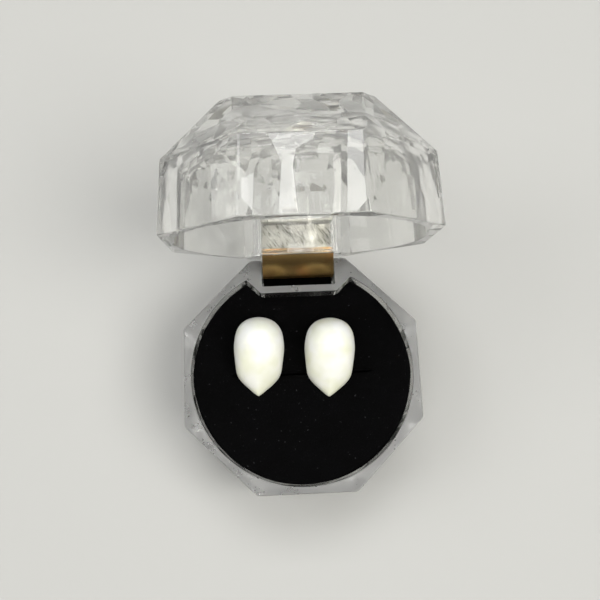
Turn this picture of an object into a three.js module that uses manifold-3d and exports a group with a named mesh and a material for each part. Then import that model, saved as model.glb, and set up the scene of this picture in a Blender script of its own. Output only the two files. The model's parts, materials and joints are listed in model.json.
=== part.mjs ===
// A pair of slip-on fang caps lying on the black pad of a clear eight-sided ring box.
// Millimetres, +Z up. The origin is the centre of the underside of the box base.
// The box stands open: its faceted lid leans back on a small metal hinge inside the rear wall.

import * as THREE from 'three';
import { mergeVertices } from 'three/addons/utils/BufferGeometryUtils.js';
import Module from 'manifold-3d';

const wasm = await Module();
wasm.setup();

// Box base: an octagon with one flat to the front, and a round well for the pad
const boxFlats = 38;
const boxWall = 1.1;
const boxCornerRadius = 1.2;
const baseHeight = 18;
const baseTaper = 0.5;
const baseFloor = 3;
const footBevel = 1.2;

// Lid: an upright wall, a crown of eight sloped facets and a nearly square table
const rimGap = 0.3;
const lidOverhang = 0.2;
const lidWallHeight = 10.2;
const lidWallTaper = 0.6;
const crownHeight = 7.4;
const crownInset = 8.2;
const tableCornerCut = 1.8;
const tableCornerRadius = 0.35;
const lidWellHeight = 7;
const lidWellTaper = 0.2;
const lidVaultRadius = 6;
const lidOpenAngle = 81.7;

// Hinge: two leaves on one pin, and a bowed cover that turns a share of the lid's turn
const hingeWidth = 11.7;
const hingeSideClearance = 0.2;
const pinRadius = 0.45;
const pinClearance = 0.25;
const knuckleWall = 0.45;
const knuckleGap = 0.3;
const lidKnuckleWidth = 3.6;
const leafThickness = 0.35;
const leafInset = 0.85;
const leafLength = 5.8;
const leafNeckHeight = 2;
const leafSeatGap = 0.15;
const leafFootClearance = 0.3;
const coverThickness = 0.35;
const coverReach = 1.8;
const coverBowRadius = 8.5;
const coverHalfAngle = 18.6;
const coverShareOfTurn = 0.6;
const coverCheekWidth = 0.4;
const pocketFrontClearance = 1.3;
const pocketEndClearance = 0.3;
const pocketWall = 1.1;
const pocketLip = 0.25;

// Pad: black foam in the well, with the slit that a ring would stand in
const padDrop = 0.5;
const padClearance = 0.3;
const slitLength = 22;
const slitWidth = 0.5;
const slitDepth = 8;

// Fang caps: open at the back, with a solid tip
const fangLength = 12.6;
const fangWidth = 8.05;
const fangHeight = 6.9;
const fangWall = 0.75;
const fangSolidTip = 3.2;
const fangApexShare = 0.4;
const fangFullness = 2.4;
const fangTaper = 0.72;
const fangHollowTaper = 0.35;
const fangTaperBend = 1.25;
const fangSeatGap = 0.25;
const leftFangX = -6.91;
const leftFangY = 2.81;
const rightFangX = 4.47;
const rightFangY = 2.27;
const fangSpots = [
  { name: 'fang_left', x: leftFangX, y: leftFangY, turn: -2.5 },
  { name: 'fang_right', x: rightFangX, y: rightFangY, turn: -3.3 },
];

// How far a cutting shape reaches past the faces that it cuts
const cutMargin = 1;

// Right half of the cap's outline: how far down from the gum end, and how wide it is there
const fangOutline = [
  { down: 0, wide: 0 },
  { down: 0.045, wide: 0.56 },
  { down: 0.15, wide: 0.87 },
  { down: 0.34, wide: 1 },
  { down: 0.56, wide: 0.955 },
  { down: 0.74, wide: 0.85 },
  { down: 0.83, wide: 0.65 },
  { down: 0.92, wide: 0.34 },
  { down: 0.985, wide: 0.09 },
];

// Sizes that follow from the ones above
const wellRadius = boxFlats / 2 - boxWall;
const lidFlats = boxFlats + 2 * lidOverhang;
const lidHeight = lidWallHeight + crownHeight;
const pivotY = boxFlats / 2;
const pivotZ = baseHeight + rimGap / 2;
const boreRadius = pinRadius + pinClearance;
const knuckleRadius = boreRadius + knuckleWall;
const pocketHalfWidth = hingeWidth / 2 + hingeSideClearance;
const coverBow = radians(coverHalfAngle);
const coverCentre = coverBowRadius - coverReach - coverThickness;
const coverSweep = Math.hypot(
  coverCentre - coverBowRadius * Math.cos(coverBow), coverBowRadius * Math.sin(coverBow),
);
const pocketFront = pivotY - coverSweep - pocketFrontClearance;
const blockFront = pocketFront - pocketWall;
const blockHalfWidth = pocketHalfWidth + pocketLip;

function radians(degrees) {
  return THREE.MathUtils.degToRad(degrees);
}

function solidOf(geometry) {
  const bare = geometry.clone();
  bare.deleteAttribute('normal');
  bare.deleteAttribute('uv');
  const merged = mergeVertices(bare, 1e-4);
  return new wasm.Manifold(new wasm.Mesh({
    numProp: 3,
    vertProperties: new Float32Array(merged.attributes.position.array),
    triVerts: new Uint32Array(merged.index.array),
  }));
}

function geometryOf(solid) {
  const mesh = solid.getMesh();
  const geometry = new THREE.BufferGeometry();
  geometry.setAttribute('position', new THREE.BufferAttribute(new Float32Array(mesh.vertProperties), 3));
  geometry.setIndex(new THREE.BufferAttribute(new Uint32Array(mesh.triVerts), 1));
  geometry.computeVertexNormals();
  return geometry;
}

function box(x0, x1, y0, y1, z0, z1) {
  const geometry = new THREE.BoxGeometry(x1 - x0, y1 - y0, z1 - z0);
  return solidOf(geometry.translate((x0 + x1) / 2, (y0 + y1) / 2, (z0 + z1) / 2));
}

// A flat outline carried straight up from z0 to z1
function upright(shape, z0, z1, curveSegments = 48) {
  const geometry = new THREE.ExtrudeGeometry(shape, { depth: z1 - z0, bevelEnabled: false, curveSegments });
  return solidOf(geometry.translate(0, 0, z0));
}

// A section drawn in Y and Z, carried along X from x0 to x1
function alongX(shape, x0, x1, curveSegments = 10) {
  const geometry = new THREE.ExtrudeGeometry(shape, { depth: x1 - x0, bevelEnabled: false, curveSegments });
  const turned = new THREE.Matrix4().makeBasis(
    new THREE.Vector3(0, 1, 0), new THREE.Vector3(0, 0, 1), new THREE.Vector3(1, 0, 0),
  );
  return solidOf(geometry.applyMatrix4(turned).translate(x0, 0, 0));
}

// A closed skin through rings of equally many points, the first ring lowest, with flat ends
function loft(rings) {
  const count = rings[0].length;
  const positions = rings.flat().flatMap((point) => [point.x, point.y, point.z]);
  const triangles = [];
  for (let row = 0; row < rings.length - 1; row += 1) {
    for (let i = 0; i < count; i += 1) {
      const next = (i + 1) % count;
      const low = row * count;
      const high = low + count;
      triangles.push(low + i, low + next, high + next, low + i, high + next, high + i);
    }
  }
  for (const [row, facesUp] of [[0, false], [rings.length - 1, true]]) {
    const middle = positions.length / 3;
    const centre = rings[row].reduce((sum, point) => sum.add(point), new THREE.Vector3()).divideScalar(count);
    positions.push(centre.x, centre.y, centre.z);
    for (let i = 0; i < count; i += 1) {
      const next = (i + 1) % count;
      triangles.push(middle, row * count + (facesUp ? i : next), row * count + (facesUp ? next : i));
    }
  }
  const geometry = new THREE.BufferGeometry();
  geometry.setAttribute('position', new THREE.Float32BufferAttribute(positions, 3));
  geometry.setIndex(triangles);
  return solidOf(geometry);
}

// The eight corners of an octagon: the flats lie at half, and each flat is 2 * flatHalf long
function octagonCorners(half, flatHalf) {
  const corners = [];
  for (let side = 0; side < 4; side += 1) {
    const turn = (side * Math.PI) / 2;
    corners.push(new THREE.Vector2(half, -flatHalf).rotateAround(new THREE.Vector2(), turn));
    corners.push(new THREE.Vector2(half, flatHalf).rotateAround(new THREE.Vector2(), turn));
  }
  return corners;
}

// Rounds every corner with an arc of the given radius and lays the ring at height z
function roundedRing(corners, radius, z, steps = 3) {
  const ring = [];
  corners.forEach((corner, i) => {
    const before = corners[(i + corners.length - 1) % corners.length].clone().sub(corner).normalize();
    const after = corners[(i + 1) % corners.length].clone().sub(corner).normalize();
    const halfAngle = Math.acos(THREE.MathUtils.clamp(before.dot(after), -1, 1)) / 2;
    const toCentre = before.clone().add(after).normalize().multiplyScalar(radius / Math.sin(halfAngle));
    const centre = corner.clone().add(toCentre);
    const start = corner.clone().add(before.multiplyScalar(radius / Math.tan(halfAngle))).sub(centre);
    const sweep = Math.PI - 2 * halfAngle;
    for (let step = 0; step <= steps; step += 1) {
      const point = start.clone().rotateAround(new THREE.Vector2(), (sweep * step) / steps).add(centre);
      ring.push(new THREE.Vector3(point.x, point.y, z));
    }
  });
  return ring;
}

function regularRing(flats, z) {
  return roundedRing(octagonCorners(flats / 2, (flats / 2) * Math.tan(Math.PI / 8)), boxCornerRadius, z);
}

// The hinge block stands proud of the rear wall: a flat front with 45 degree shoulders
function blockShape() {
  const reach = boxFlats;
  const shape = new THREE.Shape();
  shape.moveTo(-blockHalfWidth, blockFront);
  shape.lineTo(blockHalfWidth, blockFront);
  shape.lineTo(blockHalfWidth + reach, blockFront + reach);
  shape.lineTo(-blockHalfWidth - reach, blockFront + reach);
  shape.closePath();
  return shape;
}

// The round well less the hinge block, drawn in by a clearance all round
function wellShape(clearance) {
  const radius = wellRadius - clearance;
  const front = blockFront - clearance;
  const half = blockHalfWidth + clearance * Math.tan(Math.PI / 8);
  const shoulder = (Math.sqrt(2 * radius ** 2 - (half - front) ** 2) - half - front) / 2;
  const angle = Math.atan2(front + shoulder, half + shoulder);
  const shape = new THREE.Shape();
  shape.moveTo(half, front);
  shape.lineTo(half + shoulder, front + shoulder);
  shape.absarc(0, 0, radius, angle, Math.PI - angle, true);
  shape.lineTo(-half, front);
  shape.closePath();
  return shape;
}

// The pocket that holds the hinge, and the slot through the rear wall where its knuckles lie.
// It opens at the rim, which is at z = 0, and reaches to depth on the side that up names.
function hingePocket(depth, up) {
  const inner = up * depth;
  const past = -up * rimGap;
  const slotDepth = up * (knuckleRadius + pinClearance - rimGap / 2);
  const back = pivotY - leafInset + leafSeatGap;
  const pocket = box(-pocketHalfWidth, pocketHalfWidth, pocketFront, back,
    Math.min(inner, past), Math.max(inner, past));
  const slot = box(-pocketHalfWidth, pocketHalfWidth, back - leafThickness, boxFlats,
    Math.min(slotDepth, past), Math.max(slotDepth, past));
  return pocket.add(slot);
}

function baseSolid() {
  const footFlats = boxFlats - 2 * baseTaper;
  const outer = loft([
    regularRing(footFlats - 2 * footBevel, 0),
    regularRing(footFlats, footBevel),
    regularRing(boxFlats, baseHeight),
  ]);
  const well = upright(wellShape(0), baseFloor, baseHeight + rimGap);
  const pocket = hingePocket(leafLength + pocketEndClearance, -1).translate([0, 0, baseHeight]);
  return outer.subtract(well).subtract(pocket);
}

// The lid lies on its rim here, with the rim at z = 0
function lidSolid() {
  const tableHalf = lidFlats / 2 - lidWallTaper - crownInset;
  const outer = loft([
    regularRing(lidFlats, 0),
    regularRing(lidFlats - 2 * lidWallTaper, lidWallHeight),
    roundedRing(octagonCorners(tableHalf, tableHalf - tableCornerCut), tableCornerRadius, lidHeight),
  ]);
  const profile = new THREE.Path();
  profile.moveTo(0, -rimGap);
  profile.lineTo(wellRadius, -rimGap);
  profile.lineTo(wellRadius, 0);
  const ceilingRadius = wellRadius - lidWellTaper - lidVaultRadius;
  profile.absarc(ceilingRadius, lidWellHeight, lidVaultRadius, 0, Math.PI / 2, false);
  profile.lineTo(0, lidWellHeight + lidVaultRadius);
  const well = solidOf(new THREE.LatheGeometry(profile.getPoints(7), 96).rotateX(Math.PI / 2));
  const block = upright(blockShape(), -2 * rimGap, lidHeight);
  const pocket = hingePocket(leafLength + pocketEndClearance, 1);
  return outer.subtract(well.subtract(block)).subtract(pocket);
}

function padSolid() {
  const top = baseHeight - padDrop;
  const body = upright(wellShape(padClearance), baseFloor + padClearance, top);
  const slit = box(-slitLength / 2, slitLength / 2, -slitWidth / 2, slitWidth / 2, top - slitDepth, top + cutMargin);
  return body.subtract(slit);
}

// The cap's outline scaled to a length and width, with its gum end at the top of the Y axis
function fangOutlinePoints(length, width, count) {
  const right = fangOutline.map((row) => new THREE.Vector3(row.wide * width / 2, -row.down * length, 0));
  const tip = new THREE.Vector3(0, -length, 0);
  const left = right.slice(1).reverse().map((point) => new THREE.Vector3(-point.x, point.y, 0));
  const curve = new THREE.CatmullRomCurve3([...right, tip, ...left], true, 'centripetal');
  return curve.getSpacedPoints(count).slice(0, count).reverse();
}

// A dome over that outline: each ring is the outline drawn in towards the apex as it rises, and from
// the apex to the tip it falls by the taper. Skirt carries the lowest ring straight down.
function fangDome(length, width, height, taper, skirt, count, rows) {
  const apexY = -length * fangApexShare;
  const outline = fangOutlinePoints(length, width, count);
  const ringAt = (scale, z) => outline.map((point) => {
    const y = apexY + (point.y - apexY) * scale;
    const towardsTip = Math.max(0, (apexY - y) / (length + apexY));
    const rise = Math.max(0, z) * (1 - taper * towardsTip ** fangTaperBend);
    return new THREE.Vector3(point.x * scale, y, Math.min(0, z) + rise);
  });
  const rings = skirt > 0 ? [ringAt(1, -skirt)] : [];
  for (let row = 0; row < rows; row += 1) {
    const lean = (Math.PI / 2) * (row / rows);
    rings.push(ringAt(Math.cos(lean) ** (2 / fangFullness), height * Math.sin(lean) ** (2 / fangFullness)));
  }
  return loft(rings);
}

function fangSolid() {
  const outer = fangDome(fangLength, fangWidth, fangHeight, fangTaper, 0, 44, 10);
  const hollow = fangDome(
    fangLength - fangWall - fangSolidTip, fangWidth - 2 * fangWall, fangHeight - fangWall,
    fangHollowTaper, fangWall, 36, 9,
  );
  return outer.subtract(hollow.translate([0, -fangWall, 0])).translate([0, fangLength / 2, 0]);
}

function circleShape(radius, holeRadius) {
  const shape = new THREE.Shape();
  shape.absarc(0, 0, radius, 0, 2 * Math.PI, false);
  if (holeRadius > 0) {
    const hole = new THREE.Path();
    hole.absarc(0, 0, holeRadius, 0, 2 * Math.PI, true);
    shape.holes.push(hole);
  }
  return shape;
}

// One leaf about the pin, drawn with the box shut: up is 1 in the lid and -1 in the base.
// Its plate lies on the pocket's back and is folded across the pocket's end, and knuckles are the
// stretches of X that belong to this leaf.
function leafSolid(up, knuckles) {
  const front = -leafInset - leafThickness;
  const back = -leafInset;
  const neckHalf = hingeWidth / 2 - coverCheekWidth - knuckleGap;
  const neckStart = up * (knuckleRadius + knuckleGap);
  const neckEnd = up * leafNeckHeight;
  const tipEnd = up * (leafLength + rimGap / 2);
  const plate = box(-hingeWidth / 2, hingeWidth / 2, front, back,
    Math.min(neckEnd, tipEnd), Math.max(neckEnd, tipEnd));
  const neck = box(-neckHalf, neckHalf, front, back,
    Math.min(neckStart, tipEnd), Math.max(neckStart, tipEnd));
  const foot = box(-hingeWidth / 2, hingeWidth / 2, pocketFront + leafFootClearance - pivotY, back,
    Math.min(tipEnd, tipEnd - up * leafThickness), Math.max(tipEnd, tipEnd - up * leafThickness));
  let solid = plate.add(neck).add(foot);
  for (const [x0, x1] of knuckles) {
    const bore = alongX(circleShape(boreRadius, 0), x0 - cutMargin, x1 + cutMargin);
    const web = box(x0, x1, front, back, Math.min(0, neckEnd), Math.max(0, neckEnd));
    solid = solid.add(alongX(circleShape(knuckleRadius, 0), x0, x1)).add(web).subtract(bore);
  }
  return solid;
}

// The bowed cover in front of the pin, with a cheek at each end that turns on the pin
function coverSolid() {
  const low = Math.PI + coverBow;
  const high = Math.PI - coverBow;
  const sheet = new THREE.Shape();
  sheet.absarc(coverCentre, 0, coverBowRadius, low, high, true);
  sheet.absarc(coverCentre, 0, coverBowRadius - coverThickness, high, low, false);
  sheet.closePath();
  const cheek = new THREE.Shape();
  cheek.absarc(0, 0, knuckleRadius, -Math.PI / 2, Math.PI / 2, false);
  cheek.lineTo(-coverReach - coverThickness / 2, knuckleRadius);
  cheek.lineTo(-coverReach - coverThickness / 2, -knuckleRadius);
  cheek.closePath();
  const hole = new THREE.Path();
  hole.absarc(0, 0, boreRadius, 0, 2 * Math.PI, true);
  cheek.holes.push(hole);
  const half = hingeWidth / 2;
  return alongX(sheet, -half, half, 8)
    .add(alongX(cheek, -half, -half + coverCheekWidth))
    .add(alongX(cheek, half - coverCheekWidth, half));
}

const finishes = {
  clearAcrylic: { color: 0xe4e9e8, roughness: 0.05, metalness: 0, transparent: true, opacity: 0.35 },
  blackFoam: { color: 0x0b0b0c, roughness: 0.95, metalness: 0 },
  ivoryResin: { color: 0xf0eedd, roughness: 0.4, metalness: 0 },
  brushedSteel: { color: 0xb9b8ae, roughness: 0.4, metalness: 1 },
  polishedBrass: { color: 0x8a6a3c, roughness: 0.2, metalness: 1 },
};

function piece(name, solid, finish) {
  const mesh = new THREE.Mesh(geometryOf(solid), new THREE.MeshStandardMaterial(finishes[finish]));
  mesh.name = name;
  return mesh;
}

function buildBase() {
  const base = new THREE.Group();
  base.add(piece('box_base', baseSolid(), 'clearAcrylic'));
  base.add(piece('pad', padSolid(), 'blackFoam'));
  for (const spot of fangSpots) {
    const fang = piece(spot.name, fangSolid(), 'ivoryResin');
    fang.position.set(spot.x, spot.y, baseHeight - padDrop + fangSeatGap);
    fang.rotation.z = radians(spot.turn);
    base.add(fang);
  }
  return base;
}

// Everything that turns about the pin is drawn with the box shut and then turned open
function buildHinge() {
  const lidHalf = lidKnuckleWidth / 2;
  const outerStart = lidHalf + knuckleGap;
  const outerEnd = hingeWidth / 2 - coverCheekWidth - knuckleGap;
  const pivot = new THREE.Group();
  pivot.position.set(0, pivotY, pivotZ);
  const baseLeaf = leafSolid(-1, [[-outerEnd, -outerStart], [outerStart, outerEnd]]);
  const pinHalf = hingeWidth / 2;
  pivot.add(piece('hinge_base_leaf', baseLeaf, 'brushedSteel'));
  pivot.add(piece('hinge_pin', alongX(circleShape(pinRadius, 0), -pinHalf, pinHalf, 6), 'brushedSteel'));

  const cover = new THREE.Group();
  cover.rotation.x = -radians(lidOpenAngle * coverShareOfTurn);
  cover.add(piece('hinge_cover', coverSolid(), 'polishedBrass'));

  const lid = new THREE.Group();
  lid.rotation.x = -radians(lidOpenAngle);
  const shell = piece('box_lid', lidSolid(), 'clearAcrylic');
  shell.position.set(0, -pivotY, rimGap / 2);
  lid.add(shell);
  lid.add(piece('hinge_lid_leaf', leafSolid(1, [[-lidHalf, lidHalf]]), 'brushedSteel'));

  pivot.add(cover, lid);
  return pivot;
}

const fangBox = new THREE.Group();
fangBox.add(buildBase(), buildHinge());

export default fangBox;
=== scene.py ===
# Two hollow fang caps lie on the black pad of a clear eight-sided ring box, whose faceted lid stands open.
# The scene is in metres; the dictionaries beside each piece hold millimetres and degrees.
import json
import math

import bmesh
import bpy
import numpy as np
from mathutils import Matrix, Vector


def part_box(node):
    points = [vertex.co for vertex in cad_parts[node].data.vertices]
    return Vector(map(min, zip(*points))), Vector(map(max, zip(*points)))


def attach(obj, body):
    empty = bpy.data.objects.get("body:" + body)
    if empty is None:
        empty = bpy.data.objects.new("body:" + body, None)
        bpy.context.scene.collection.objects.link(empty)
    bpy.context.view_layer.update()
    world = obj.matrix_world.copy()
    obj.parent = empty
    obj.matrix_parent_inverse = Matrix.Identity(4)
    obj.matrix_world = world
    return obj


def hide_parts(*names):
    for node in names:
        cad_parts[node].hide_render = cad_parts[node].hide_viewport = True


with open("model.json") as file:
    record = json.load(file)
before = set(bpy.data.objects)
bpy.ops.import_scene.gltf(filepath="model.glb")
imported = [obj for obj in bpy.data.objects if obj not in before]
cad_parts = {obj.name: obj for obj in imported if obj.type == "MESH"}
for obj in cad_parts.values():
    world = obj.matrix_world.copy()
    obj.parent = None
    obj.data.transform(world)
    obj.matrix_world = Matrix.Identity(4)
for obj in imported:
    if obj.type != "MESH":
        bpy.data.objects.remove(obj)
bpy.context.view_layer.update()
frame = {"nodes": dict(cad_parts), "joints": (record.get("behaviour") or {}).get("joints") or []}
scene = bpy.context.scene
mm = 0.001
print("frame loaded:", len(frame["nodes"]), "nodes")


# Places that the frame gives, in millimetres
lidHinge = next(joint for joint in frame["joints"] if joint["name"] == "lid_hinge")
pivotY, pivotZ = (value / mm for value in lidHinge["pos_m"][1:])
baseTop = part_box("box_base")[1].z / mm
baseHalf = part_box("box_base")[1].x / mm
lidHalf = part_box("box_lid")[1].x / mm

# How far the lid stands open in the photograph and in the frame, in degrees from shut
openAngle = 81.7


# Camera, where the photograph's camera stood
view = {
    "elevation": 77.035,
    "azimuth": -7.587,
    "roll": 5.218,
    "distance": 128.171,
    "aim": (0.123, 11.996, 18.0),
    "lens": 46.76,
    "sensor": 36.0,
}


def placeCamera(view):
    # The camera looks from its elevation and azimuth at the aim, turned about its own axis by the roll
    up, around, roll = (math.radians(view[key]) for key in ("elevation", "azimuth", "roll"))
    back = Vector((math.sin(around) * math.cos(up), -math.cos(around) * math.cos(up), math.sin(up)))
    level = Vector((math.cos(around), math.sin(around), 0))
    upright = back.cross(level)
    right = math.cos(roll) * level + math.sin(roll) * upright
    top = back.cross(right)
    data = bpy.data.cameras.new("camera")
    data.lens, data.sensor_width = view["lens"], view["sensor"]
    data.clip_start, data.clip_end = 0.01, 10
    camera = bpy.data.objects.new("camera", data)
    place = (Vector(view["aim"]) + back * view["distance"]) * mm
    camera.matrix_world = Matrix.Translation(place) @ Matrix((right, top, back)).transposed().to_4x4()
    scene.collection.objects.link(camera)
    scene.camera = camera


placeCamera(view)


# Materials
def linear(hexCode):
    # sRGB hex to linear colour
    srgb = np.array([int(hexCode[i:i + 2], 16) for i in (1, 3, 5)]) / 255
    curve = np.where(srgb <= 0.04045, srgb / 12.92, ((srgb + 0.055) / 1.055) ** 2.4)
    return (*curve.tolist(), 1.0)


def addNode(tree, kind, values=None, links=None, **settings):
    # A node with its settings, its sockets' values and its links
    node = tree.nodes.new(kind)
    for name, value in settings.items():
        setattr(node, name, value)
    for socket, value in (values or {}).items():
        node.inputs[socket].default_value = value
    for socket, source in (links or {}).items():
        tree.links.new(node.inputs[socket], source)
    return node


def startMaterial(name, values):
    # A material with one Principled shader, and the coordinates that its patterns read
    material = bpy.data.materials.new(name)
    material.use_nodes = True
    tree = material.node_tree
    tree.nodes.clear()
    surface = addNode(tree, "ShaderNodeBsdfPrincipled", values)
    addNode(tree, "ShaderNodeOutputMaterial", links={"Surface": surface.outputs["BSDF"]})
    place = addNode(tree, "ShaderNodeTexCoord").outputs["Object"]
    return material, tree, surface, place


def perMillimetre(size):
    # The scale of a texture whose features are size millimetres apart, on coordinates in metres
    return 1 / (size * mm)


def ramp(tree, factor, stops):
    # A colour ramp from (place, hex or grey) stops
    node = addNode(tree, "ShaderNodeValToRGB", links={"Fac": factor})
    band = node.color_ramp
    while len(band.elements) < len(stops):
        band.elements.new(0.5)
    for element, (place, colour) in zip(band.elements, stops):
        element.position = place
        element.color = linear(colour) if isinstance(colour, str) else (colour, colour, colour, 1)
    return node.outputs["Color"]


def clearAcrylic(name, leanBack, tilt, clearness, width=3.6, stretch=2.5, wave=0.12):
    # Acrylic, injection moulded: clear and glossy, the lid a little milky from rubbing on other boxes.
    # The melt ran down the walls from the middle and set in shallow flow facets, 3.6 mm wide and two and
    # a half times as long, and in the crown 4 mm wide and as long as they are wide. Each leans its own
    # way by up to half the tilt, which breaks what is seen through them into patches; leanBack turns
    # them with the open lid. Waves 5 mm apart bend them further, and duller patches lie 2.2 mm apart.
    material, tree, surface, place = startMaterial(name, {
        "Base Color": linear("#FAFAF8"), "IOR": 1.49, "Transmission Weight": clearness,
    })
    flow = addNode(tree, "ShaderNodeMapping", {"Rotation": (math.radians(leanBack), 0, 0)}, {"Vector": place})
    stretched = addNode(tree, "ShaderNodeMapping", {"Scale": (1, 1, 1 / stretch)},
                        {"Vector": flow.outputs["Vector"]})
    facets = addNode(tree, "ShaderNodeTexVoronoi", {"Scale": perMillimetre(width), "Randomness": 1.0},
                     {"Vector": stretched.outputs["Vector"]})
    waves = addNode(tree, "ShaderNodeTexNoise", {"Scale": perMillimetre(5), "Detail": 1.5},
                    {"Vector": stretched.outputs["Vector"]})
    haze = addNode(tree, "ShaderNodeTexNoise", {"Scale": perMillimetre(2.2), "Detail": 3}, {"Vector": place})
    rough = ramp(tree, haze.outputs["Fac"], [(0.4, 0.02), (0.75, 0.09)])
    bump = addNode(tree, "ShaderNodeBump", {"Strength": 1.0, "Distance": wave * mm},
                   {"Height": waves.outputs["Fac"]})
    tree.links.new(surface.inputs["Roughness"], rough)
    centred = addNode(tree, "ShaderNodeVectorMath", {1: (0.5, 0.5, 0.5)}, {0: facets.outputs["Color"]},
                      operation="SUBTRACT")
    leaning = addNode(tree, "ShaderNodeVectorMath", {1: (tilt, tilt, tilt)},
                      {0: centred.outputs["Vector"], 2: bump.outputs["Normal"]}, operation="MULTIPLY_ADD")
    facing = addNode(tree, "ShaderNodeVectorMath", links={0: leaning.outputs["Vector"]}, operation="NORMALIZE")
    tree.links.new(surface.inputs["Normal"], facing.outputs["Vector"])
    return material


def scuffedAcrylic():
    # Acrylic where the lid has ground on it: the same plastic, but milky and half matt, in specks 0.5 mm
    # apart and duller clouds 2.5 mm apart
    material, tree, surface, place = startMaterial("scuffedAcrylicRim", {
        "Base Color": linear("#FAFAF8"), "IOR": 1.49, "Transmission Weight": 0.84,
    })
    specks = addNode(tree, "ShaderNodeTexNoise", {"Scale": perMillimetre(0.5), "Detail": 4},
                     {"Vector": place})
    clouds = addNode(tree, "ShaderNodeTexNoise", {"Scale": perMillimetre(2.5), "Detail": 2},
                     {"Vector": place})
    both = addNode(tree, "ShaderNodeMix", {0: 0.6}, {2: specks.outputs["Fac"], 3: clouds.outputs["Fac"]})
    rough = ramp(tree, both.outputs[0], [(0.35, 0.24), (0.62, 0.42)])
    tree.links.new(surface.inputs["Roughness"], rough)
    bump = addNode(tree, "ShaderNodeBump", {"Strength": 0.16, "Distance": 0.02 * mm},
                   {"Height": specks.outputs["Fac"]})
    tree.links.new(surface.inputs["Normal"], bump.outputs["Normal"])
    return material


def blackVelvet():
    # Velvet, nylon pile on foam: almost black, with a grey bloom where the pile leans and a little lint
    material, tree, surface, place = startMaterial("blackVelvetPile", {
        "Roughness": 0.95, "Specular IOR Level": 0.06,
        "Sheen Weight": 0.03, "Sheen Roughness": 0.35, "Sheen Tint": linear("#6E7076"),
    })
    # The pile is 0.05 mm thick; it is drawn 0.22 mm apart, so that it shows
    pile = addNode(tree, "ShaderNodeTexNoise", {"Scale": perMillimetre(0.22), "Detail": 2},
                   {"Vector": place})
    brushed = addNode(tree, "ShaderNodeTexNoise", {"Scale": perMillimetre(5), "Detail": 3},
                      {"Vector": place})
    lean = ramp(tree, brushed.outputs["Fac"], [(0.35, "#010101"), (0.75, "#040405")])
    fibres = ramp(tree, pile.outputs["Fac"], [(0.35, "#010101"), (0.7, "#050506")])
    shade = addNode(tree, "ShaderNodeMix", {0: 0.5}, {6: lean, 7: fibres}, data_type="RGBA")
    # Lint: only the peaks of a noise 0.5 mm apart show, as sparse grey specks
    specks = addNode(tree, "ShaderNodeTexNoise", {"Scale": perMillimetre(0.5), "Detail": 1},
                     {"Vector": place})
    lint = ramp(tree, specks.outputs["Fac"], [(0.74, 0.0), (0.8, 0.6)])
    grey = addNode(tree, "ShaderNodeMix", {7: linear("#3A3A3C")}, {0: lint, 6: shade.outputs[2]},
                   data_type="RGBA")
    tree.links.new(surface.inputs["Base Color"], grey.outputs[2])
    bump = addNode(tree, "ShaderNodeBump", {"Strength": 0.7, "Distance": 0.12 * mm},
                   {"Height": pile.outputs["Fac"]})
    tree.links.new(surface.inputs["Normal"], bump.outputs["Normal"])
    return material


def ivoryResin():
    # Polyurethane resin, cast and tumbled: ivory white and satin, a little light passes through its skin.
    # It is cool grey-white towards the gum end and warmer towards the tip, with greenish yellow
    # clouds of 4 mm.
    material, tree, surface, place = startMaterial("ivoryResinCast", {
        "IOR": 1.5, "Subsurface Weight": 0.25, "Subsurface Scale": 0.6 * mm,
        "Subsurface Radius": (0.9, 0.9, 0.75), "Coat Weight": 0.12, "Coat Roughness": 0.22,
    })
    cloud = addNode(tree, "ShaderNodeTexNoise", {"Scale": perMillimetre(4), "Detail": 2}, {"Vector": place})
    length = addNode(tree, "ShaderNodeSeparateXYZ", links={"Vector": place})
    fromTip = addNode(tree, "ShaderNodeMapRange", {"From Min": -3.5 * mm, "From Max": 9 * mm},
                      {"Value": length.outputs["Y"]})
    tint = ramp(tree, fromTip.outputs["Result"], [(0.0, "#FBFBEE"), (0.45, "#FEFEF6"), (1.0, "#EEF1F1")])
    cast = ramp(tree, cloud.outputs["Fac"], [(0.3, "#F1F2E2"), (0.6, "#FFFFFF")])
    colour = addNode(tree, "ShaderNodeMix", {0: 1.0}, {6: tint, 7: cast}, data_type="RGBA",
                     blend_type="MULTIPLY")
    tree.links.new(surface.inputs["Base Color"], colour.outputs[2])
    grain = addNode(tree, "ShaderNodeTexNoise", {"Scale": perMillimetre(0.35), "Detail": 3},
                    {"Vector": place})
    rough = ramp(tree, grain.outputs["Fac"], [(0.3, 0.36), (0.7, 0.5)])
    tree.links.new(surface.inputs["Roughness"], rough)
    bump = addNode(tree, "ShaderNodeBump", {"Strength": 0.12, "Distance": 0.03 * mm},
                   {"Height": grain.outputs["Fac"]})
    tree.links.new(surface.inputs["Normal"], bump.outputs["Normal"])
    return material


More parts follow.
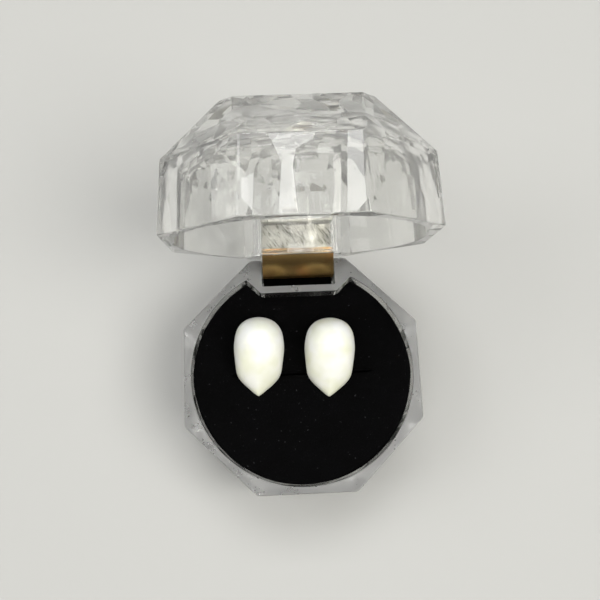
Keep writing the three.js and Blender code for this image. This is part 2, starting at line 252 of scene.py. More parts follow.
def scratchedSteel():
    # Steel strip, rolled and nickel plated: pale and semi-bright, with slanting handling scratches in
    # short bunches 0.25 mm apart, and painted near-black deep in the base's pocket as painted shade.
    material, tree, surface, place = startMaterial("scratchedSteelPaintedPocketShade", {"Metallic": 1.0})
    turned = addNode(tree, "ShaderNodeMapping", {"Rotation": (0, 0, math.radians(-35))}, {"Vector": place})
    drawn = addNode(tree, "ShaderNodeMapping", {"Scale": (1, 0.12, 1)}, {"Vector": turned.outputs["Vector"]})
    hatch = addNode(tree, "ShaderNodeTexNoise", {"Scale": perMillimetre(0.25), "Detail": 3},
                    {"Vector": drawn.outputs["Vector"]})
    bunches = addNode(tree, "ShaderNodeTexNoise", {"Scale": perMillimetre(2.4), "Detail": 2},
                      {"Vector": place})
    lines = ramp(tree, hatch.outputs["Fac"], [(0.4, "#6F6B5C"), (0.47, "#C9C6BA"), (0.7, "#DEDCD2")])
    scratched = ramp(tree, bunches.outputs["Fac"], [(0.42, 0.1), (0.56, 1.0)])
    clean = addNode(tree, "ShaderNodeMix", {6: linear("#D2D0C6")}, {0: scratched, 7: lines},
                    data_type="RGBA")
    # Painted shade: below 12.6 mm up the steel is near-black, fading to its plated colour by 14.2 mm, where
    # the base's pocket lies in shade.
    height = addNode(tree, "ShaderNodeSeparateXYZ", links={"Vector": place})
    depth = addNode(tree, "ShaderNodeMapRange", {"From Min": 12.6 * mm, "From Max": 14.2 * mm},
                    {"Value": height.outputs["Z"]})
    colour = addNode(tree, "ShaderNodeMix", {6: linear("#0D0B09")},
                     {0: depth.outputs["Result"], 7: clean.outputs[2]}, data_type="RGBA")
    tree.links.new(surface.inputs["Base Color"], colour.outputs[2])
    rough = ramp(tree, bunches.outputs["Fac"], [(0.35, 0.28), (0.65, 0.5)])
    tree.links.new(surface.inputs["Roughness"], rough)
    bump = addNode(tree, "ShaderNodeBump", {"Strength": 0.35, "Distance": 0.03 * mm},
                   {"Height": hatch.outputs["Fac"]})
    tree.links.new(surface.inputs["Normal"], bump.outputs["Normal"])
    return material


def brownedBrass():
    # Brass strip, polished and lacquered: bright but softened by fine drawing lines 0.25 mm apart, brown
    # with age and redder in clouds of 5 mm
    material, tree, surface, place = startMaterial("brownedBrassPolished", {"Metallic": 1.0})
    patina = addNode(tree, "ShaderNodeTexNoise", {"Scale": perMillimetre(5), "Detail": 2},
                     {"Vector": place})
    colour = ramp(tree, patina.outputs["Fac"], [(0.3, "#A08450"), (0.5, "#B0905C"), (0.72, "#B97E48")])
    tree.links.new(surface.inputs["Base Color"], colour)
    drawn = addNode(tree, "ShaderNodeMapping", {"Scale": (0.12, 1, 1)}, {"Vector": place})
    lines = addNode(tree, "ShaderNodeTexNoise", {"Scale": perMillimetre(0.25), "Detail": 2},
                    {"Vector": drawn.outputs["Vector"]})
    rough = ramp(tree, lines.outputs["Fac"], [(0.3, 0.22), (0.7, 0.27)])
    tree.links.new(surface.inputs["Roughness"], rough)
    return material


baseAcrylic = clearAcrylic("clearAcrylicBase", 0, 0.06, 0.975)
lidAcrylic = clearAcrylic("clearAcrylicLid", openAngle, 0.3, 0.91)
crownAcrylic = clearAcrylic("clearAcrylicCrown", openAngle, 0.8, 0.91, width=4.0, stretch=1.0, wave=0.03)
rimAcrylic = scuffedAcrylic()
velvet, resin = blackVelvet(), ivoryResin()
steel, brass = scratchedSteel(), brownedBrass()
print("materials made")


# Surfaces: every shape below is an array of rings, (row, column, xyz), in millimetres
def smoothMin(first, second, reach):
    # The smaller of two distances, eased where they meet over about reach
    share = np.clip(0.5 + 0.5 * (second - first) / reach, 0, 1)
    return second + (first - second) * share - reach * share * (1 - share)


def along(start, end):
    # The unit vector from start to end for each column, and zero where they meet
    step = end - start
    return step / np.maximum(np.linalg.norm(step, axis=-1, keepdims=True), 1e-9)


def easedRows(rings, easing, steps=4, guard=1.3):
    # Each ring with an easing gives way to a quadratic curve that starts and ends that far from it along
    # the rows, and to one straight row on each side, at guard times as far, that keeps the flats flat.
    rows = [rings[0]]
    t = np.linspace(0, 1, steps + 1)[:, None, None]
    for before, here, after, size in zip(rings, rings[1:], rings[2:], easing):
        if size == 0:
            rows.append(here)
            continue
        back, ahead = along(here, before), along(here, after)
        curve = (1 - t) ** 2 * (here + back * size) + 2 * t * (1 - t) * here + t ** 2 * (here + ahead * size)
        rows += [here + back * size * guard, *curve, here + ahead * size * guard]
    return np.stack([*rows, rings[-1]])


def ringOf(points, height):
    # A flat outline, (column, xy), lifted to a height
    return np.column_stack([points, np.full(len(points), height)])


def pole(point, columns):
    # A ring that closes a surface in one point
    return np.tile(np.asarray(point, float), (columns, 1))


def gridFaces(rows, columns, closedRows=False):
    # Quads between neighbouring rings, whose columns always close on themselves
    number = np.arange(rows * columns).reshape(rows, columns)
    low = number if closedRows else number[:-1]
    high = np.roll(number, -1, 0) if closedRows else number[1:]
    return np.stack([low, np.roll(low, -1, 1), np.roll(high, -1, 1), high], -1).reshape(-1, 4)


def makePiece(name, surfaces, material, body, nodes, smoothTo=30):
    # One mesh from closed surfaces. Each comes as (rings, closedRows), and a negative volume turns it over.
    points, faces, start = [], [], 0
    for rings, closedRows in surfaces:
        rows, columns = rings.shape[:2]
        quads = gridFaces(rows, columns, closedRows)
        flat = rings.reshape(-1, 3)
        a, b, c, d = (flat[quads[:, i]] for i in range(4))
        volume = (a * np.cross(b, c)).sum() + (a * np.cross(c, d)).sum()
        faces.append((quads if volume > 0 else quads[:, ::-1]) + start)
        points.append(flat)
        start += len(flat)
    mesh = bpy.data.meshes.new(name)
    mesh.from_pydata(np.vstack(points) * mm, [], np.vstack(faces).tolist())
    mergeDoubles(mesh)
    piece = bpy.data.objects.new(name, mesh)
    scene.collection.objects.link(piece)
    mesh.materials.append(material)
    smooth(mesh, smoothTo)
    if body:
        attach(piece, body)
        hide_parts(*nodes)
    return piece


def mergeDoubles(mesh):
    # Closes the seams and poles of the rings
    work = bmesh.new()
    work.from_mesh(mesh)
    bmesh.ops.remove_doubles(work, verts=work.verts, dist=1e-7)
    bmesh.ops.dissolve_degenerate(work, edges=work.edges, dist=1e-8)
    work.to_mesh(mesh)
    work.free()


def smooth(mesh, degrees):
    # Smooth shading, apart from edges that bend by more than so many degrees
    mesh.shade_smooth()
    mesh.set_sharp_from_angle(angle=math.radians(degrees))


def opened(points, degrees):
    # Turns points drawn with the box shut about the hinge pin, backwards
    turn = math.radians(degrees)
    y, z = points[..., 1] - pivotY, points[..., 2] - pivotZ
    return np.stack([
        points[..., 0],
        pivotY + y * math.cos(turn) + z * math.sin(turn),
        pivotZ - y * math.sin(turn) + z * math.cos(turn),
    ], -1)


# Box: the octagon's columns, and the well with the hinge block that both halves share
box = {
    "flatColumns": 72,
    "arcColumns": 7,
    "cornerRadius": 1.2,
    "wall": 1.1,
    "blockFront": 13.397,
    "blockHalf": 6.3,
    "blockEase": 0.35,
    "pocketFront": 14.497,
    "pocketHalf": 6.05,
    "pocketBack": 18.3,
    "pocketDepth": 6.1,
    "slotDepth": 1.25,
    "slotFront": 17.95,
    "pocketCorner": 0.25,
    "slotCorner": 0.1,
    "rimGap": 0.3,
}
base = {
    "taper": 0.5,
    "footBevel": 1.2,
    "floor": 3.0,
    "footEase": 0.25,
    "rimEase": 0.22,
    "wellEase": 0.6,
    "rimFacing": 0.3,
}
lid = {
    "wallHeight": 10.2,
    "wallTaper": 0.6,
    "crownHeight": 7.4,
    "crownInset": 8.2,
    "tableCut": 1.8,
    "tableRadius": 0.35,
    "wellHeight": 7.0,
    "wellTaper": 0.2,
    "vaultRadius": 6.0,
    "vaultRows": 32,
    "edgeEase": 0.16,
}


def octagon(mainHalf, diagonalHalf, radius, height):
    # Eight sides that face every 45 degrees, at mainHalf and diagonalHalf in turn. Two lines drawn in by
    # the corner radius cross at a corner's centre, and an arc about it joins the sides.
    side = np.arange(8)
    facing = np.radians(45 * side)
    normal = np.stack([np.cos(facing), np.sin(facing)], -1)
    tangent = np.stack([-np.sin(facing), np.cos(facing)], -1)
    reach = np.where(side % 2 == 0, mainHalf, diagonalHalf) - radius
    slide = (np.roll(reach, -1) - reach * math.cos(math.pi / 4)) / math.sin(math.pi / 4)
    centre = normal * reach[:, None] + tangent * slide[:, None]
    start = np.roll(centre, 1, 0) + normal * radius
    end = centre + normal * radius
    share = np.linspace(0, 1, box["flatColumns"] + 2)[1:-1, None]
    flats = start[:, None] + (end - start)[:, None] * share
    bend = facing[:, None] + np.linspace(0, math.pi / 4, box["arcColumns"])
    arcs = centre[:, None] + radius * np.stack([np.cos(bend), np.sin(bend)], -1)
    return ringOf(np.concatenate([flats, arcs], 1).reshape(-1, 2), height)


def wellRing(radius, height, angles):
    # The distance from the axis at each angle: a circle, or the hinge block's flat front and its 45
    # degree shoulders where they are nearer.
    sine, cosine = np.sin(angles), np.abs(np.cos(angles))
    farAway, margin = 99, 0.02
    behind = sine > cosine + margin
    front = box["blockFront"] / np.where(behind, sine, 1)
    shoulder = (box["blockFront"] - box["blockHalf"]) / np.where(behind, sine - cosine, 1)
    block = np.where(behind, -smoothMin(-front, -shoulder, box["blockEase"]), farAway)
    distance = smoothMin(np.full_like(angles, radius), block, box["blockEase"])
    return np.stack([distance * np.cos(angles), distance * np.sin(angles), np.full_like(angles, height)], -1)


def cutterBox(x, y, z, radius):
    # A block with rounded upright edges, as closed rings
    bend = np.radians(np.linspace(0, 90, 5))
    corners = [(x[1], y[1], 0), (x[0], y[1], 90), (x[0], y[0], 180), (x[1], y[0], 270)]
    outline = []
    for cornerX, cornerY, quarter in corners:
        turned = bend + math.radians(quarter)
        inX = cornerX - math.copysign(radius, math.cos(math.radians(quarter + 45)))
        inY = cornerY - math.copysign(radius, math.sin(math.radians(quarter + 45)))
        outline.append(np.stack([inX + radius * np.cos(turned), inY + radius * np.sin(turned)], -1))
    outline = np.vstack(outline)
    middle = (sum(x) / 2, sum(y) / 2)
    rings = [pole((*middle, z[0]), len(outline)), ringOf(outline, z[0]), ringOf(outline, z[1]),
             pole((*middle, z[1]), len(outline))]
    return np.stack(rings)


def cutAway(piece, surfaces, name):
    # Takes closed surfaces away from a piece, one after another
    for rings in surfaces:
        cutter = makePiece(name, [(rings, False)], baseAcrylic, None, ())
        modifier = piece.modifiers.new(name, "BOOLEAN")
        modifier.operation, modifier.solver, modifier.object = "DIFFERENCE", "EXACT", cutter
        graph = bpy.context.evaluated_depsgraph_get()
        cut = bpy.data.meshes.new_from_object(piece.evaluated_get(graph))
        piece.modifiers.clear()
        old, piece.data = piece.data, cut
        bpy.data.meshes.remove(old)
        bpy.data.objects.remove(cutter)
    piece.data.name = piece.name
    smooth(piece.data, 30)


def hingePocket(rim, up):
    # The pocket that the hinge sits in, and the slot through the rear wall for its knuckles
    past, deep = rim - up * box["rimGap"], rim + up * box["pocketDepth"]
    shallow = rim + up * box["slotDepth"]
    wide = (-box["pocketHalf"], box["pocketHalf"])
    pocket, slot = (box["pocketFront"], box["pocketBack"]), (box["slotFront"], 2 * baseHalf)
    return [
        cutterBox(wide, pocket, sorted((past, deep)), box["pocketCorner"]),
        cutterBox(wide, slot, sorted((past, shallow)), box["slotCorner"]),
    ]


def boxBase():
    # Rings from the middle of the foot, up the outside, over the rim and down the well to its floor
    foot = baseHalf - base["taper"]
    rim = octagon(baseHalf, baseHalf, box["cornerRadius"], baseTop)
    angles = np.arctan2(rim[:, 1], rim[:, 0])
    well = baseHalf - box["wall"]
    rings = [
        pole((0, 0, 0), len(rim)),
        octagon(foot - base["footBevel"], foot - base["footBevel"], box["cornerRadius"], 0),
        octagon(foot, foot, box["cornerRadius"], base["footBevel"]),
        rim,
        wellRing(well, baseTop, angles),
        wellRing(well, base["floor"], angles),
        pole((0, 0, base["floor"]), len(rim)),
    ]
    easing = [base["footEase"], base["footEase"], base["rimEase"], base["rimEase"], base["wellEase"]]
    piece = makePiece("boxBase", [(easedRows(rings, easing), False)], baseAcrylic, "base", ["box_base"])
    cutAway(piece, hingePocket(baseTop, -1), "pocketCutter")
    piece.data.materials.append(rimAcrylic)
    # The rim is scuffed on its top, where the lid grinds on it
    for face in piece.data.polygons:
        if face.center.z > (baseTop - base["rimEase"]) * mm and face.normal.z > base["rimFacing"]:
            face.material_index = 1
    return piece


def boxLid():
    # Rings from the middle of the vault, down the well, over the rim and up the outside to the table. It is
    # drawn shut, and the last step opens it.
    rim = octagon(lidHalf, lidHalf, box["cornerRadius"], 0)
    angles = np.arctan2(rim[:, 1], rim[:, 0])
    well = baseHalf - box["wall"]
    wellEnd = well - lid["wellTaper"]
    shoulder = lidHalf - lid["wallTaper"]
    table = shoulder - lid["crownInset"]
    tableDiagonal = (2 * table - lid["tableCut"]) / math.sqrt(2)
    top = lid["wallHeight"] + lid["crownHeight"]
    vaultRadius = lid["vaultRadius"]
    ceiling = lid["wellHeight"] + vaultRadius
    lean = np.linspace(math.pi / 2, 0, lid["vaultRows"])
    vault = [
        wellRing(wellEnd - vaultRadius * (1 - math.cos(angle)),
                 lid["wellHeight"] + vaultRadius * math.sin(angle), angles)
        for angle in lean
    ]
    rings = [
        pole((0, 0, ceiling), len(rim)),
        *vault,
        wellRing(well, 0, angles),
        rim,
        octagon(shoulder, shoulder, box["cornerRadius"], lid["wallHeight"]),
        octagon(table, tableDiagonal, lid["tableRadius"], top),
        pole((0, 0, top), len(rim)),
    ]
    ease = lid["edgeEase"]
    easing = [*[0] * len(vault), base["rimEase"], base["rimEase"], ease, ease]
    surface = easedRows(rings, easing)
    surface[..., 2] += baseTop + box["rimGap"]
    piece = makePiece("boxLid", [(surface, False)], lidAcrylic, "lid", ["box_lid"])
    cutAway(piece, hingePocket(baseTop + box["rimGap"], 1), "pocketCutter")
    piece.data.materials.append(crownAcrylic)
    for face in piece.data.polygons:
        if face.center.z > (baseTop + box["rimGap"] + lid["wallHeight"]) * mm:
            face.material_index = 1
    toPin = Matrix.Translation((0, pivotY * mm, pivotZ * mm))
    fromPin = Matrix.Translation((0, -pivotY * mm, -pivotZ * mm))
    piece.data.transform(toPin @ Matrix.Rotation(-math.radians(openAngle), 4, "X") @ fromPin)
    return piece


boxBase()
boxLid()
print("clear box made")


# Pad: velvet over foam, filling the well, with the slit that a ring would stand in
pad = {
    "drop": 0.5,
    "clearance": 0.3,
    "sections": 84,
    "topColumns": 26,
    "easeColumns": 5,
    "sideRows": 7,
    "edge": 1.1,
    "edgeDrop": 0.8,
    "crown": 0.05,
    "crownDepth": 0.6,
    "slitLength": 22.0,
    "slitHalf": 0.25,
    "slitDepth": 5.0,
    "slitEase": 0.7,
    "slitDrop": 0.6,
    "slitEnd": 1.6,
    "stiffness": 40,
    "bending": 5,
    "pressure": 0.4,
    "largestMove": 0.22,
    "simulationScale": 10.0,
    "frames": 20,
}


def padSections():
    # For each station along X a closed outline in Y and Z: from the slit's floor over the far half's top and
    # soft edge and down its side, then across the flat underside and up the near half the same way.
    radius = baseHalf - box["wall"] - pad["clearance"]
    low = base["floor"] + pad["clearance"]
    top = baseTop - pad["drop"]
    x = radius * np.sin(np.linspace(-0.5, 0.5, pad["sections"]) * math.pi)
    circle = np.sqrt(np.maximum(radius ** 2 - x ** 2, 0))
    block = box["blockFront"] - pad["clearance"] + np.maximum(0, np.abs(x) - box["blockHalf"])
    far = np.minimum(circle, block)
    near = -circle
    slitShare = np.clip((pad["slitLength"] / 2 - np.abs(x)) / pad["slitEnd"] + 0.5, 0, 1)
    slitShare = slitShare ** 2 * (3 - 2 * slitShare)

    def half(outer, sign):
        # From the slit's floor out to the side of one half; each row of ys and zs has a value by station.
        # Both easings shrink where the half runs out towards the ends.
        wall = pad["slitHalf"] * slitShare * sign
        ease = np.linspace(0, math.pi / 2, pad["easeColumns"])
        depth = pad["slitDepth"] * slitShare
        ys = [np.zeros_like(x), wall, wall]
        zs = [top - depth, top - depth, top - depth * 0.5]
        soft = pad["slitEase"] * slitShare * np.minimum(1, np.abs(outer - wall) / 4)
        for angle in ease:
            ys.append(wall + sign * soft * (1 - np.cos(angle)))
            zs.append(top - soft * pad["slitDrop"] * (1 - np.sin(angle)))
        edge = np.minimum(pad["edge"], np.abs(outer) * 0.45)
        inner, outerFlat = wall + sign * soft, outer - sign * edge
        for share in np.linspace(0, 1, pad["topColumns"])[1:-1]:
            ys.append(inner + (outerFlat - inner) * share)
            zs.append(np.full_like(x, top))
        for angle in ease:
            ys.append(outerFlat + sign * edge * np.sin(angle))
            zs.append(top - edge * pad["edgeDrop"] * (1 - np.cos(angle)))
        for height in np.linspace(0.8, 0, pad["sideRows"]):
            ys.append(outer)
            zs.append(low + (top - edge - low) * height)
        return np.array(ys), np.array(zs)

    farY, farZ = half(far, 1)
    nearY, nearZ = half(near, -1)
    ys = np.vstack([farY, nearY[::-1]])
    zs = np.vstack([farZ, nearZ[::-1]])
    xs = np.tile(x, (len(ys), 1))
    # The crown: the top rises by the crown times (1 - share of the radius squared)^0.6, and this fades out
    # over the crown's depth below the top
    spread = np.clip(1 - (xs ** 2 + ys ** 2) / radius ** 2, 0, 1)
    fade = np.clip((zs - top + pad["crownDepth"]) / pad["crownDepth"], 0, 1)
    zs = zs + pad["crown"] * spread ** 0.6 * fade
    return np.stack([xs, ys, zs], -1).transpose(1, 0, 2)


def positionsOf(mesh):
    # The mesh's points as an array of rows
    flat = np.empty(len(mesh.vertices) * 3)
    mesh.vertices.foreach_get("co", flat)
    return flat.reshape(-1, 3)


def swell(piece):
    # The foam pushes the velvet out like air in a bag. The cloth runs on a copy ten times as large, and
    # no point may move further than the largest move.
    scale = pad["simulationScale"]
    start = positionsOf(piece.data)
    mesh = piece.data.copy()
    mesh.vertices.foreach_set("co", (start * scale).ravel())
    bag = bpy.data.objects.new("swellingPad", mesh)
    scene.collection.objects.link(bag)
    cloth = bag.modifiers.new("cloth", "CLOTH")
    cloth.settings.use_pressure = True
    cloth.settings.uniform_pressure_force = pad["pressure"]
    cloth.settings.tension_stiffness = cloth.settings.compression_stiffness = pad["stiffness"]
    cloth.settings.bending_stiffness = pad["bending"]
    cloth.settings.effector_weights.gravity = 0
    cloth.point_cache.frame_start, cloth.point_cache.frame_end = 1, pad["frames"]
    for moment in range(1, pad["frames"] + 1):
        scene.frame_set(moment)
    swollen = bag.evaluated_get(bpy.context.evaluated_depsgraph_get())
    move = positionsOf(swollen.data) / scale - start
    reach = np.linalg.norm(move, axis=1, keepdims=True)
    limit = pad["largestMove"] * mm
    eased = limit * np.tanh(reach / limit)
    piece.data.vertices.foreach_set("co", (start + move * eased / np.maximum(reach, 1e-12)).ravel())
    piece.data.update()
    print("pad swollen by up to", round(float(eased.max() / mm), 2), "mm, on average",
          round(float(eased.mean() / mm), 3))
    scene.frame_set(1)
    bpy.data.objects.remove(bag)


def velvetPad():
    # The first and the last outline have no width, so merging their points closes the pad
    piece = makePiece("velvetPad", [(padSections(), False)], velvet, "base", ["pad"], 60)
    swell(piece)
    finer = piece.modifiers.new("finer", "SUBSURF")
    finer.levels = finer.render_levels = 1
    return piece


velvetPad()
print("pad made")


# Fang caps: a dome over a tooth-shaped outline, and the hollow that slips over a tooth
fang = {
    "length": 12.6,
    "width": 8.05,
    "height": 6.9,
    "wall": 0.75,
    "solidTip": 3.2,
    "apexShare": 0.4,
    "fullness": 2.4,
    "taper": 0.72,
    "hollowTaper": 0.35,
    "taperBend": 1.25,
    "seat": 0.25,
    "columns": 160,
    "rows": 44,
    "curveSteps": 24,
    "rimEase": 0.12,
    "down": (0, 0.045, 0.15, 0.34, 0.56, 0.74, 0.83, 0.92, 0.985, 1),
    "wide": (0, 0.56, 0.87, 1, 0.955, 0.85, 0.65, 0.34, 0.09, 0),
}
fangSpots = [
    {"name": "fangLeft", "node": "fang_left", "x": -6.91, "y": 2.81, "turn": -2.5},
    {"name": "fangRight", "node": "fang_right", "x": 4.47, "y": 2.27, "turn": -3.3},
]


def fangOutline(length, width):
    # A closed centripetal Catmull-Rom curve through the table's points and their mirror images, with
    # its points laid out evenly by length.
    down, wide = np.array(fang["down"]) * length, np.array(fang["wide"]) * width / 2
    knots = np.vstack([np.column_stack([wide, -down]), np.column_stack([-wide, -down])[-2:0:-1]])
    p0, p1, p2, p3 = (np.roll(knots, shift, 0) for shift in (1, 0, -1, -2))
    d01, d12, d23 = (np.linalg.norm(b - a, axis=1)[:, None] ** 0.5 for a, b in ((p0, p1), (p1, p2), (p2, p3)))
    m1 = (p1 - p0) / d01 - (p2 - p0) / (d01 + d12) + (p2 - p1) / d12
    m2 = (p2 - p1) / d12 - (p3 - p1) / (d12 + d23) + (p3 - p2) / d23
    m1, m2 = m1 * d12, m2 * d12
    t = np.linspace(0, 1, fang["curveSteps"], endpoint=False)[None, :, None]
    terms = (p1, m1, -3 * p1 + 3 * p2 - 2 * m1 - m2, 2 * p1 - 2 * p2 + m1 + m2)
    a, b, c, d = (term[:, None] for term in terms)
    curve = (a + b * t + c * t ** 2 + d * t ** 3).reshape(-1, 2)
    closed = np.vstack([curve, curve[:1]])
    travelled = np.concatenate([[0], np.cumsum(np.linalg.norm(np.diff(closed, axis=0), axis=1))])
    even = np.linspace(0, travelled[-1], fang["columns"], endpoint=False)
    return np.column_stack([np.interp(even, travelled, closed[:, i]) for i in range(2)])


def dome(length, width, height, taper, lift):
    # Each ring is the outline drawn in towards the apex by cos(lean)^(2/fullness), at height times
    # sin(lean)^(2/fullness); the first ring is the apex and the last one the foot. Towards the tip the
    # height falls by the taper times (share of the way from the apex to the tip)^taperBend.
    outline = fangOutline(length, width)
    apex = np.array([0, -length * fang["apexShare"]])
    lean = np.linspace(math.pi / 2, 0, fang["rows"])
    scale, rise = (np.abs(wave(lean)) ** (2 / fang["fullness"]) for wave in (np.cos, np.sin))
    scale[0], rise[-1] = 0, 0
    flat = apex + (outline - apex) * scale[:, None, None]
    towardsTip = np.clip((apex[1] - flat[..., 1]) / (length + apex[1]), 0, 1)
    fall = 1 - taper * towardsTip ** fang["taperBend"]
    return np.dstack([flat, height * rise[:, None] * fall]) + (0, lift, 0)


def fangCap(spot):
    # The outer dome, its foot eased into the hollow's, and the hollow's dome: one closed surface
    outer = dome(fang["length"], fang["width"], fang["height"], fang["taper"], 0)
    hollow = dome(fang["length"] - fang["wall"] - fang["solidTip"], fang["width"] - 2 * fang["wall"],
                  fang["height"] - fang["wall"], fang["hollowTaper"], -fang["wall"])[::-1]
    rim = easedRows([outer[-2], outer[-1], hollow[0], hollow[1]], [fang["rimEase"], fang["rimEase"]])
    rings = np.concatenate([outer[:-1], rim[1:-1], hollow[1:]])
    rings[..., 1] += fang["length"] / 2
    turn = math.radians(spot["turn"])
    x, y = rings[..., 0].copy(), rings[..., 1].copy()
    rings[..., 0] = spot["x"] + x * math.cos(turn) - y * math.sin(turn)
    rings[..., 1] = spot["y"] + x * math.sin(turn) + y * math.cos(turn)
    rings[..., 2] += baseTop - pad["drop"] + fang["seat"]
    return makePiece(spot["name"], [(rings, False)], resin, "base", [spot["node"]], 40)


for spot in fangSpots:
    fangCap(spot)
print("fang caps made")


# Hinge: strips of sheet metal bent about the pin
hinge = {
    "width": 11.7,
    "pinRadius": 0.45,
    "bore": 0.7,
    "knuckle": 1.15,
    "knuckleGap": 0.3,
    "lidKnuckle": 3.6,
    "thickness": 0.35,
    "inset": 0.85,
    "leafLength": 5.8,
    "neckHeight": 2.0,
    "foldRadius": 0.45,
    "footReach": 4.2,
    "cheekWidth": 0.4,
    "reach": 1.8,
    "bowRadius": 8.5,
    "bowHalfAngle": 18.6,
    "coverShare": 0.6,
    "curl": 310,
    "neckShare": 0.98,
    "rollShare": 1.1,
    "footRows": 8,
    "foldRows": 7,
    "backRows": 12,
    "curlRows": 28,
    "bowRows": 40,
    "pinColumns": 40,
    "cheekColumns": 72,
    "pinEase": 0.12,
    "edge": 0.06,
}


def stripAlong(path, thickness, x0, x1):
    # A flat bar's rounded section carried along a path in Y and Z. Each point's normal is the path's
    # direction turned by 90 degrees, and the section's two axes are X and that normal.
    direction = np.gradient(path, axis=0)
    direction /= np.linalg.norm(direction, axis=1, keepdims=True)
    normal = np.column_stack([-direction[:, 1], direction[:, 0]])
    ease = hinge["edge"]
    bend = np.radians(np.linspace(0, 90, 4))
    halfX, halfT = (x1 - x0) / 2, thickness / 2
    section = np.vstack([
        np.column_stack([sx * (halfX - ease) + ease * np.cos(bend + quarter),
                         st * (halfT - ease) + ease * np.sin(bend + quarter)])
        for sx, st, quarter in ((1, 1, 0), (-1, 1, math.pi / 2), (-1, -1, math.pi), (1, -1, 1.5 * math.pi))
    ])
    across = path[:, None] + normal[:, None] * section[None, :, 1:2]
    wide = np.broadcast_to((x0 + x1) / 2 + section[None, :, 0], across.shape[:2])
    rings = np.dstack([wide, across])
    ends = [pole(((x0 + x1) / 2, *path[i]), len(section)) for i in (0, -1)]
    return np.concatenate([ends[0][None], rings, ends[1][None]])


def leafPath(up, start, curl):
    # Along the pocket's end, round the fold, along the pocket's back and then round the pin: Y and Z
    # measured from the pivot
    middle = hinge["inset"] + hinge["thickness"] / 2
    far = hinge["leafLength"] + box["rimGap"] / 2 - hinge["thickness"] / 2
    fold = hinge["foldRadius"]
    bend = np.radians(np.linspace(90, 0, hinge["foldRows"]))
    footRows, backRows = hinge["footRows"], hinge["backRows"]
    foot = np.column_stack([
        np.linspace(-hinge["footReach"], -middle - fold, footRows), np.full(footRows, up * far),
    ])
    corner = np.column_stack([
        -middle - fold + fold * np.cos(bend), up * (far - fold + fold * np.sin(bend)),
    ])
    back = np.column_stack([
        np.full(backRows, -middle), np.linspace(up * (far - fold), up * start, backRows),
    ])
    straight = np.vstack([foot, corner[1:-1], back])
    if not curl:
        return straight
    turn = np.radians(np.linspace(0, curl, hinge["curlRows"]))[1:]
    middleRadius = (hinge["bore"] + hinge["knuckle"]) / 2
    bend = np.column_stack([-middleRadius * np.cos(turn), -up * middleRadius * np.sin(turn)])
    bend[:, 0] -= (middle - middleRadius) * np.linspace(1, 0, len(bend)) ** 2
    return np.vstack([straight, bend])


def leaf(name, node, body, up, knuckles, degrees):
    # One plate, a narrower neck, and a strip rolled about the pin at each knuckle. Neck and rolls start in
    # the plate's back, one row above the fold, and are a little thinner and thicker than it.
    half = hinge["width"] / 2
    plate = stripAlong(leafPath(up, hinge["neckHeight"], 0), hinge["thickness"], -half, half)
    neckHalf = half - hinge["cheekWidth"] - hinge["knuckleGap"]
    neckRows = hinge["backRows"] - 1
    neck = leafPath(up, hinge["knuckle"] + hinge["knuckleGap"], 0)[-neckRows:]
    roll = leafPath(up, 0, hinge["curl"])[-neckRows - hinge["curlRows"] + 1:]
    surfaces = [plate, stripAlong(neck, hinge["thickness"] * hinge["neckShare"], -neckHalf, neckHalf)]
    for x0, x1 in knuckles:
        surfaces.append(stripAlong(roll, hinge["thickness"] * hinge["rollShare"], x0, x1))
    placed = [(opened(rings + (0, pivotY, pivotZ), degrees), False) for rings in surfaces]
    return makePiece(name, placed, steel, body, [node], 35)


def hingePin():
    # A round bar along X with eased ends
    half, radius, columns = hinge["width"] / 2, hinge["pinRadius"], hinge["pinColumns"]
    turn = np.linspace(0, 2 * math.pi, columns, endpoint=False)
    circle = radius * np.column_stack([np.cos(turn), np.sin(turn)])
    start, end = (np.column_stack([np.full(columns, x), circle]) for x in (-half, half))
    rings = [pole((-half, 0, 0), columns), start, end, pole((half, 0, 0), columns)]
    surface = easedRows(rings, [hinge["pinEase"]] * 2) + (0, pivotY, pivotZ)
    return makePiece("hingePin", [(surface, False)], steel, "base", ["hinge_pin"])


def cheek(x0, x1):
    # A D-shaped plate with the pin's hole: outer outline and hole as two rings on each face. The outline
    # is a half circle behind the pin and a rectangle in front of it.
    turn = np.linspace(0, 2 * math.pi, hinge["cheekColumns"], endpoint=False)
    y, z = np.cos(turn), np.sin(turn)
    front = (hinge["reach"] + hinge["thickness"] / 2) / np.maximum(-y, 1e-6)
    side = hinge["knuckle"] / np.maximum(np.abs(z), 1e-6)
    stretch = np.where(y < 0, np.minimum(front, side), hinge["knuckle"])
    outer = np.column_stack([y * stretch, z * stretch])
    hole = hinge["bore"] * np.column_stack([y, z])
    corners = ((x0, outer), (x1, outer), (x1, hole), (x0, hole))
    return np.stack([np.column_stack([np.full(len(turn), x), ring]) for x, ring in corners])


def hingeCover():
    # A bowed sheet in front of the pin, with a cheek at each end that turns on the pin
    bow = np.radians(180 + hinge["bowHalfAngle"] * np.linspace(-1, 1, hinge["bowRows"]))
    middle = hinge["bowRadius"] - hinge["thickness"] / 2
    centre = hinge["bowRadius"] - hinge["reach"] - hinge["thickness"]
    path = np.column_stack([centre + middle * np.cos(bow), middle * np.sin(bow)])
    half = hinge["width"] / 2
    cheekStart = half - hinge["cheekWidth"]
    turn = openAngle * hinge["coverShare"]
    surfaces = [
        (stripAlong(path, hinge["thickness"], -half, half), False),
        (cheek(-half, -cheekStart), True),
        (cheek(cheekStart, half), True),
    ]
    placed = [(opened(rings + (0, pivotY, pivotZ), turn), closed) for rings, closed in surfaces]
    return makePiece("hingeCover", placed, brass, "cover", ["hinge_cover"], 35)


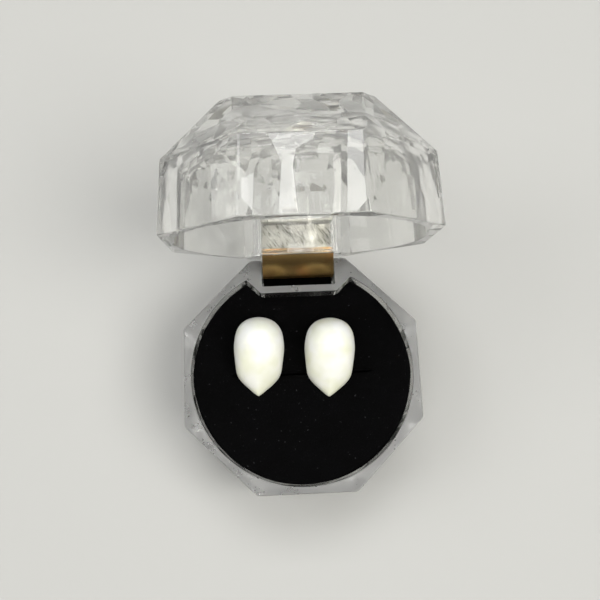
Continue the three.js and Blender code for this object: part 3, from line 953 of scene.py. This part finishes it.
lidStart = hinge["lidKnuckle"] / 2
outerStart = lidStart + hinge["knuckleGap"]
outerEnd = hinge["width"] / 2 - hinge["cheekWidth"] - hinge["knuckleGap"]
leaf("hingeBaseLeaf", "hinge_base_leaf", "base", -1, [(-outerEnd, -outerStart), (outerStart, outerEnd)], 0)
leaf("hingeLidLeaf", "hinge_lid_leaf", "lid", 1, [(-lidStart, lidStart)], openAngle)
hingePin()
hingeCover()
print("hinge made")


# Studio: a pale paper floor, soft boxes and a sky
studio = {
    "floorSize": 6.0,
    "floorColour": "#B4B4B1",
    "sky": [(0.0, "#DCDCDA"), (0.3, "#9A9A98"), (0.5, "#848482"), (0.85, "#EEEEEA")],
    "skyStrength": 0.36,
    "lightTarget": (0, 8, 20),
}
softBoxes = [
    {"name": "key", "place": (570, -270, 990), "size": (660, 660), "watts": 9.5, "colour": "#FFFDF8"},
    {"name": "front", "place": (-260, -360, 1100), "size": (400, 400), "watts": 2.2, "colour": "#FFFFFF"},
    {"name": "fill", "place": (-780, 60, 780), "size": (600, 600), "watts": 3.8, "colour": "#FAFAFA"},
    {"name": "top", "place": (0, 480, 1140), "size": (780, 480), "watts": 6.8, "colour": "#FFFFFF"},
]


def makeFloor():
    # Paper, uncoated: matt and pale, with fibres 0.8 mm apart that only just show
    material, tree, surface, place = startMaterial("palePaperFloor", {"Roughness": 0.75})
    fibre = addNode(tree, "ShaderNodeTexNoise", {"Scale": perMillimetre(0.8), "Detail": 3}, {"Vector": place})
    bump = addNode(tree, "ShaderNodeBump", {"Strength": 0.05, "Distance": 0.05 * mm},
                   {"Height": fibre.outputs["Fac"]})
    tree.links.new(surface.inputs["Normal"], bump.outputs["Normal"])
    surface.inputs["Base Color"].default_value = linear(studio["floorColour"])
    half = studio["floorSize"] / 2
    mesh = bpy.data.meshes.new("floor")
    corners = [(-half, -half, 0), (half, -half, 0), (half, half, 0), (-half, half, 0)]
    mesh.from_pydata(corners, [], [(0, 1, 2, 3)])
    mesh.materials.append(material)
    floor = bpy.data.objects.new("floor", mesh)
    scene.collection.objects.link(floor)


def makeLights():
    # Four soft boxes that face the middle of the box, and the sky
    target = Vector(studio["lightTarget"]) * mm
    for soft in softBoxes:
        data = bpy.data.lights.new(soft["name"], "AREA")
        data.shape, data.energy = "RECTANGLE", soft["watts"]
        data.size, data.size_y = (side * mm for side in soft["size"])
        data.color = linear(soft["colour"])[:3]
        lamp = bpy.data.objects.new(soft["name"], data)
        lamp.location = Vector(soft["place"]) * mm
        lamp.rotation_mode = "QUATERNION"
        lamp.rotation_quaternion = (target - lamp.location).to_track_quat("-Z", "Y")
        scene.collection.objects.link(lamp)
    # The sky is bright overhead and at the horizon and dimmer 30 degrees up, which the lid's faces mirror
    world = bpy.data.worlds.new("sky")
    world.use_nodes = True
    tree = world.node_tree
    upward = addNode(tree, "ShaderNodeSeparateXYZ",
                     links={"Vector": addNode(tree, "ShaderNodeTexCoord").outputs["Generated"]})
    glow = ramp(tree, upward.outputs["Z"], studio["sky"])
    background = tree.nodes["Background"]
    tree.links.new(background.inputs["Color"], glow)
    background.inputs["Strength"].default_value = studio["skyStrength"]
    scene.world = world


makeFloor()
makeLights()
scene.view_settings.view_transform = "Standard"
scene.cycles.max_bounces = 24
scene.cycles.transmission_bounces = 24
scene.cycles.glossy_bounces = 8
scene.cycles.use_denoising = True
print("studio made")
